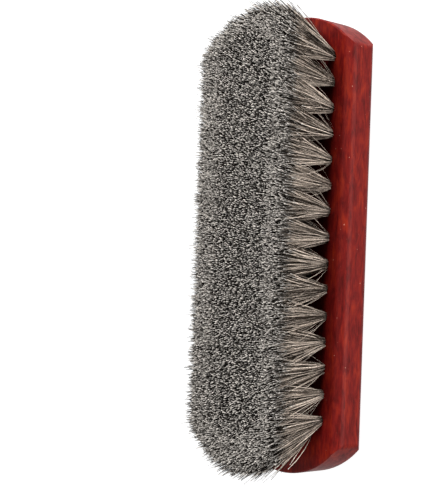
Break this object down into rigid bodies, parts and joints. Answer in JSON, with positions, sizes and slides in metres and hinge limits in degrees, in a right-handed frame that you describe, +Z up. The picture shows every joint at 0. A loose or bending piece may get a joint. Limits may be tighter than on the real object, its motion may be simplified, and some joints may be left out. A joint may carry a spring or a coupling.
{
  "type": "shoe shine brush",
  "caption": "Hand-held shoe shine brush: a varnished wooden block with bowed ends, drilled and filled with staggered rows of trimmed horsehair tufts for buffing polished leather.",
  "frame": {"origin": "middle of the flat back of the block, which is also the bottom centre of the bounding box as the brush lies on its back with the hair up", "axes": "+X along the length towards the toe, the end that the hair field is drilled nearer to; +Y across to the left; +Z up the hair, away from the back"},
  "size_m": [0.172, 0.0524, 0.0435],
  "materials": {
    "varnished_wood": "close-grained hardwood stained mahogany red under a satin-gloss varnish",
    "horsehair": "natural grey-brown horsehair, mixed light and dark strands, trimmed level at the tips",
    "anchor_wire": "plain flattened steel wire"
  },
  "bodies": {
    "root": {"brush_block": "varnished_wood", "tuft_heel_1": "horsehair", "tuft_heel_2": "horsehair", "tuft_heel_3": "horsehair", "tuft_heel_4": "horsehair", "tuft_left_01": "horsehair", "tuft_left_02": "horsehair", "tuft_left_03": "horsehair", "tuft_left_04": "horsehair", "tuft_left_05": "horsehair", "tuft_left_06": "horsehair", "tuft_left_07": "horsehair", "tuft_left_08": "horsehair", "tuft_left_09": "horsehair", "tuft_left_10": "horsehair", "tuft_left_11": "horsehair", "tuft_left_12": "horsehair", "tuft_left_13": "horsehair", "tuft_left_14": "horsehair", "tuft_left_15": "horsehair", "tuft_right_01": "horsehair", "tuft_right_02": "horsehair", "tuft_right_03": "horsehair", "tuft_right_04": "horsehair", "tuft_right_05": "horsehair", "tuft_right_06": "horsehair", "tuft_right_07": "horsehair", "tuft_right_08": "horsehair", "tuft_right_09": "horsehair", "tuft_right_10": "horsehair", "tuft_right_11": "horsehair", "tuft_right_12": "horsehair", "tuft_right_13": "horsehair", "tuft_right_14": "horsehair", "tuft_right_15": "horsehair", "tuft_toe_1": "horsehair", "tuft_toe_2": "horsehair", "tuft_toe_3": "horsehair", "tuft_toe_4": "horsehair", "tufts_inner_left": "horsehair", "tufts_inner_right": "horsehair", "tufts_middle": "horsehair", "wire_anchors": "anchor_wire"}
  },
  "joints": []
}
